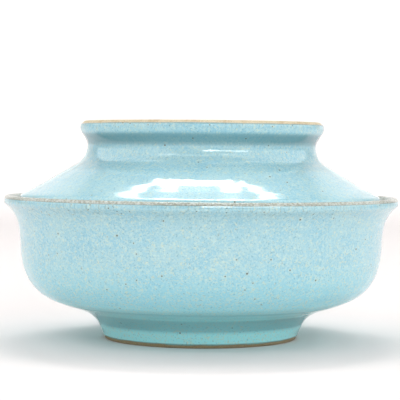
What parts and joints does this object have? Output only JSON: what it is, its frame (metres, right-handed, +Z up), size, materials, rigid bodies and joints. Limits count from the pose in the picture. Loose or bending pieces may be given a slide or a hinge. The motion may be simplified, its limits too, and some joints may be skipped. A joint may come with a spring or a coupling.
{
  "type": "lidded rice bowl",
  "caption": "Round footed bowl with a low belly, drawn-in throat and flared lip, and a shallow lid with a waisted grip ring that rests inside the lip.",
  "frame": {"origin": "centre of the foot ring's underside, on the surface that the bowl stands on", "axes": "+Z up along the axis of the bowl and the lid; X and Y are any two perpendicular directions, because both pieces are round"},
  "size_m": [0.14, 0.14, 0.0771],
  "materials": {
    "sky_blue_glaze": "glossy mottled sky-blue glaze with fine cream flecks and sparse iron specks, thinner and beige at the lips",
    "bare_clay": "unglazed fired stoneware, matt, on the foot ring's underside and the grip ring's top"
  },
  "bodies": {
    "bowl_body": {"bowl": "sky_blue_glaze"},
    "lid_body": {"lid": "sky_blue_glaze"}
  },
  "joints": [
    {"name": "lid_lift", "type": "slide", "parent": "bowl_body", "child": "lid_body", "axis": [0, 0, 1], "range_m": [0, 0.12]}
  ]
}
